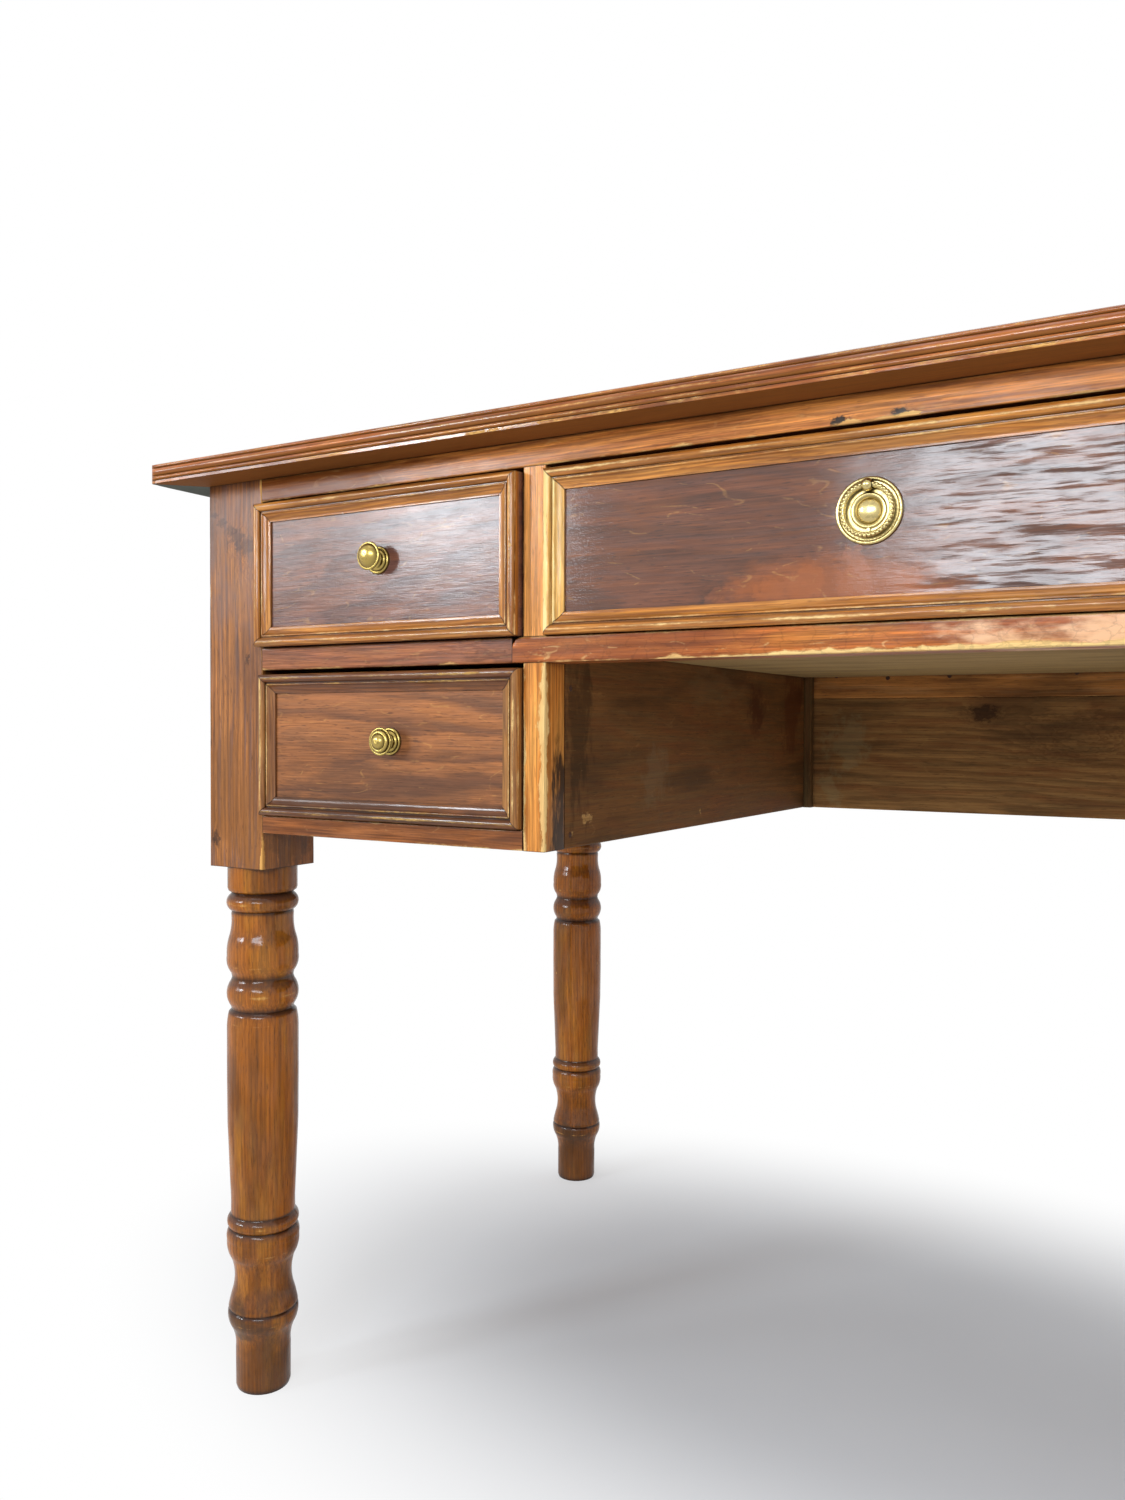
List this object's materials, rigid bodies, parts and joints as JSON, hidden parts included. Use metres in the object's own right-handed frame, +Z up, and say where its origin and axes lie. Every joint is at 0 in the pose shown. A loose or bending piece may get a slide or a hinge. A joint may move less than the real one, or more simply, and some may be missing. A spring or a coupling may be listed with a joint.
{
  "type": "writing desk",
  "caption": "Softwood kneehole desk on turned legs, with framed drawer fronts, brass knobs and a ring pull, and a reeded top edge.",
  "frame": {"origin": "on the floor under the middle of the desk", "axes": "+X to the desk's right as the sitter faces it, -Y towards the sitter, +Z up"},
  "size_m": [1.168, 0.658, 0.77],
  "materials": {
    "stained_pine": "red-brown stained pine under worn shellac",
    "carcass_pine": "dark matt stained pine, scuffed",
    "raw_pine": "bare pine, aged and unpolished",
    "drawer_veneer": "glossy dark brown veneer",
    "moulding_pine": "golden-brown polished moulding, worn on its edges",
    "brass": "polished brass, a little tarnished"
  },
  "bodies": {
    "carcass": {"top_boards": "stained_pine", "top_edge_front": "stained_pine", "top_edge_back": "stained_pine", "top_edge_left": "stained_pine", "top_edge_right": "stained_pine", "front_left_leg": "stained_pine", "front_right_leg": "stained_pine", "rear_left_leg": "stained_pine", "rear_right_leg": "stained_pine", "upper_front_rail": "stained_pine", "centre_rail": "stained_pine", "left_mid_rail": "stained_pine", "right_mid_rail": "stained_pine", "left_lower_rail": "stained_pine", "right_lower_rail": "stained_pine", "left_stiles": "stained_pine", "right_stiles": "stained_pine", "left_side_panel": "stained_pine", "right_side_panel": "stained_pine", "left_partition": "carcass_pine", "right_partition": "carcass_pine", "back_boards": "carcass_pine", "kneehole_soffit": "carcass_pine", "kneehole_corner_battens": "carcass_pine", "left_pedestal_floor": "raw_pine", "right_pedestal_floor": "raw_pine", "left_runners": "raw_pine", "right_runners": "raw_pine", "drawer_guides": "raw_pine", "kickers": "raw_pine", "drawer_stops": "raw_pine", "glue_blocks": "raw_pine"},
    "upper_left_drawer": {"upper_left_drawer_front": "drawer_veneer", "upper_left_drawer_moulding": "moulding_pine", "upper_left_drawer_box": "raw_pine", "upper_left_drawer_bottom": "raw_pine", "upper_left_knob": "brass"},
    "upper_right_drawer": {"upper_right_drawer_front": "drawer_veneer", "upper_right_drawer_moulding": "moulding_pine", "upper_right_drawer_box": "raw_pine", "upper_right_drawer_bottom": "raw_pine", "upper_right_knob": "brass"},
    "lower_left_drawer": {"lower_left_drawer_front": "drawer_veneer", "lower_left_drawer_moulding": "moulding_pine", "lower_left_drawer_box": "raw_pine", "lower_left_drawer_bottom": "raw_pine", "lower_left_knob": "brass"},
    "lower_right_drawer": {"lower_right_drawer_front": "drawer_veneer", "lower_right_drawer_moulding": "moulding_pine", "lower_right_drawer_box": "raw_pine", "lower_right_drawer_bottom": "raw_pine", "lower_right_knob": "brass"},
    "centre_drawer": {"centre_drawer_front": "drawer_veneer", "centre_drawer_moulding": "moulding_pine", "centre_drawer_box": "raw_pine", "centre_drawer_bottom": "raw_pine", "ring_pull_plate": "brass", "ring_pull_post": "brass"},
    "ring_bail": {"ring_pull_bail": "brass"}
  },
  "joints": [
    {"name": "upper_left_drawer_slide", "type": "slide", "parent": "carcass", "child": "upper_left_drawer", "axis": [0, -1, 0], "range_m": [-0.005, 0.375]},
    {"name": "upper_right_drawer_slide", "type": "slide", "parent": "carcass", "child": "upper_right_drawer", "axis": [0, -1, 0], "range_m": [0, 0.38]},
    {"name": "lower_left_drawer_slide", "type": "slide", "parent": "carcass", "child": "lower_left_drawer", "axis": [0, -1, 0], "range_m": [0, 0.38]},
    {"name": "lower_right_drawer_slide", "type": "slide", "parent": "carcass", "child": "lower_right_drawer", "axis": [0, -1, 0], "range_m": [0, 0.38]},
    {"name": "centre_drawer_slide", "type": "slide", "parent": "carcass", "child": "centre_drawer", "axis": [0, -1, 0], "range_m": [0, 0.38]},
    {"name": "ring_bail_hinge", "type": "hinge", "parent": "centre_drawer", "child": "ring_bail", "pos_m": [0, -0.29975, 0.6985], "axis": [-1, 0, 0], "range_deg": [0, 170]}
  ]
}
